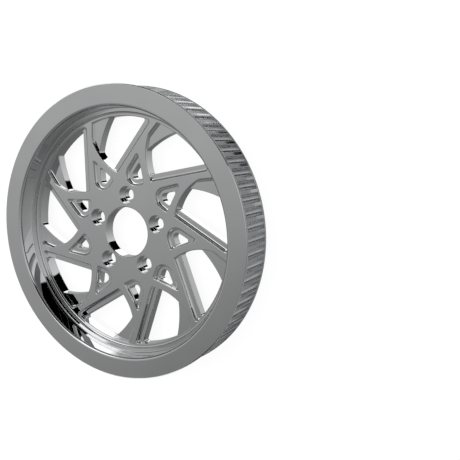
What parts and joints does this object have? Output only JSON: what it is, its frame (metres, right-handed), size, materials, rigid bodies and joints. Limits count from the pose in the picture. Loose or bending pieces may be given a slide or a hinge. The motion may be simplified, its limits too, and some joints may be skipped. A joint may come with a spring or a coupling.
{
  "type": "toothed belt pulley",
  "caption": "Chromed toothed belt pulley for a motorcycle's rear wheel: flanged rim, dished face, swept spokes between stepped windows, centre bore and a ring of seated bolt holes.",
  "frame": {"origin": "on the pulley's axis, in the plane of the rim's back face that it lies on", "axes": "+Z along the pulley's axis, from the back face to the dished front; +Y from the axis through the middle of one bolt hole; +X completes a right-handed frame"},
  "size_m": [0.319, 0.319, 0.0445],
  "materials": {
    "chrome": "polished"
  },
  "bodies": {
    "root": {"pulley": "chrome"}
  },
  "joints": []
}
